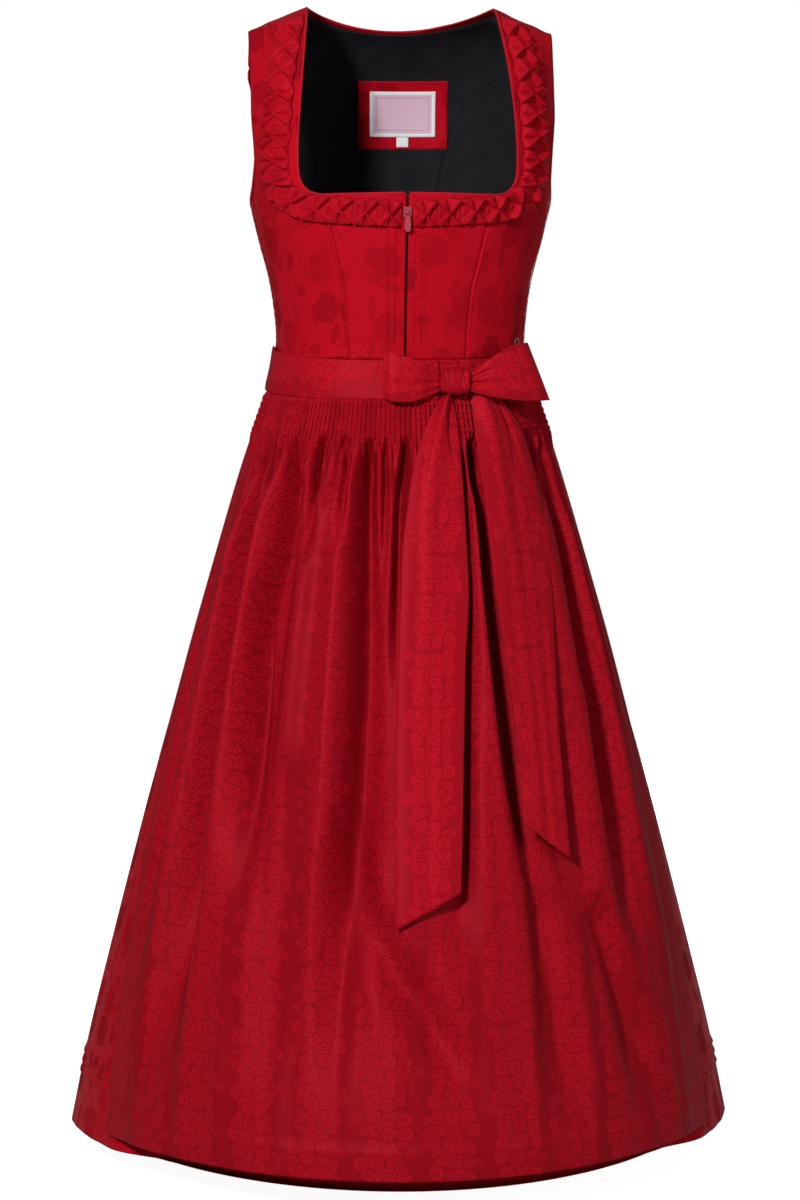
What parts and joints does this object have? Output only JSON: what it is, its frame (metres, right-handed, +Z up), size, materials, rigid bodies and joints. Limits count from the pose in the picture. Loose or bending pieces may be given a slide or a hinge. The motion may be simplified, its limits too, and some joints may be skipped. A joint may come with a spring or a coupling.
{
  "type": "sleeveless dirndl dress, filled out with no wearer",
  "caption": "Sleeveless folk dress with a fitted, lined bodice, pleated neck trim, front zip, long skirt with hem tucks, smocked apron, and sash tied in a bow.",
  "frame": {"origin": "where the dress is held: the middle between the shoulders, level with the neck ends of the shoulder seams", "axes": "+X to the wearer's left, -Y out of the front, +Z up along the height of the dress"},
  "size_m": [0.599, 0.5623, 0.9985],
  "materials": {
    "dress_cloth": "satin jacquard with darker leaves and roses",
    "apron_cloth": "soft sheen with bands of small daisies",
    "trim_cloth": "satin",
    "lining_cloth": "matte",
    "label_pink": "woven satin",
    "tag_white": "woven satin",
    "zip_red": "gloss",
    "ring_steel": "polished"
  },
  "bodies": {
    "dress": {"bodice_front_left": "dress_cloth", "bodice_front_right": "dress_cloth", "bodice_side_front_left": "dress_cloth", "bodice_side_front_right": "dress_cloth", "bodice_side_back_left": "dress_cloth", "bodice_side_back_right": "dress_cloth", "bodice_back": "dress_cloth", "lining_front_left": "lining_cloth", "lining_front_right": "lining_cloth", "lining_side_front_left": "lining_cloth", "lining_side_front_right": "lining_cloth", "lining_side_back_left": "lining_cloth", "lining_side_back_right": "lining_cloth", "lining_back": "lining_cloth", "neck_trim_left": "trim_cloth", "neck_trim_right": "trim_cloth", "skirt_front": "dress_cloth", "skirt_back": "dress_cloth", "apron": "apron_cloth", "apron_waistband": "apron_cloth", "sash_front_right": "apron_cloth", "sash_front_left": "apron_cloth", "sash_back_under": "apron_cloth", "sash_back_over": "apron_cloth", "bow_loop_left": "apron_cloth", "bow_loop_right": "apron_cloth", "bow_knot": "apron_cloth", "bow_tail_left": "apron_cloth", "bow_tail_right": "apron_cloth", "zip_tape": "zip_red", "zip_slider": "zip_red", "label_patch": "dress_cloth", "label": "label_pink", "size_tag": "tag_white", "side_ring": "ring_steel"},
    "zip_pull": {"zip_pull": "zip_red"}
  },
  "joints": [
    {"name": "pull_swing", "type": "hinge", "parent": "dress", "child": "zip_pull", "pos_m": [-0.00253, -0.11659, -0.18461], "axis": [-1, 0, 0], "range_deg": [-9, 160]}
  ]
}
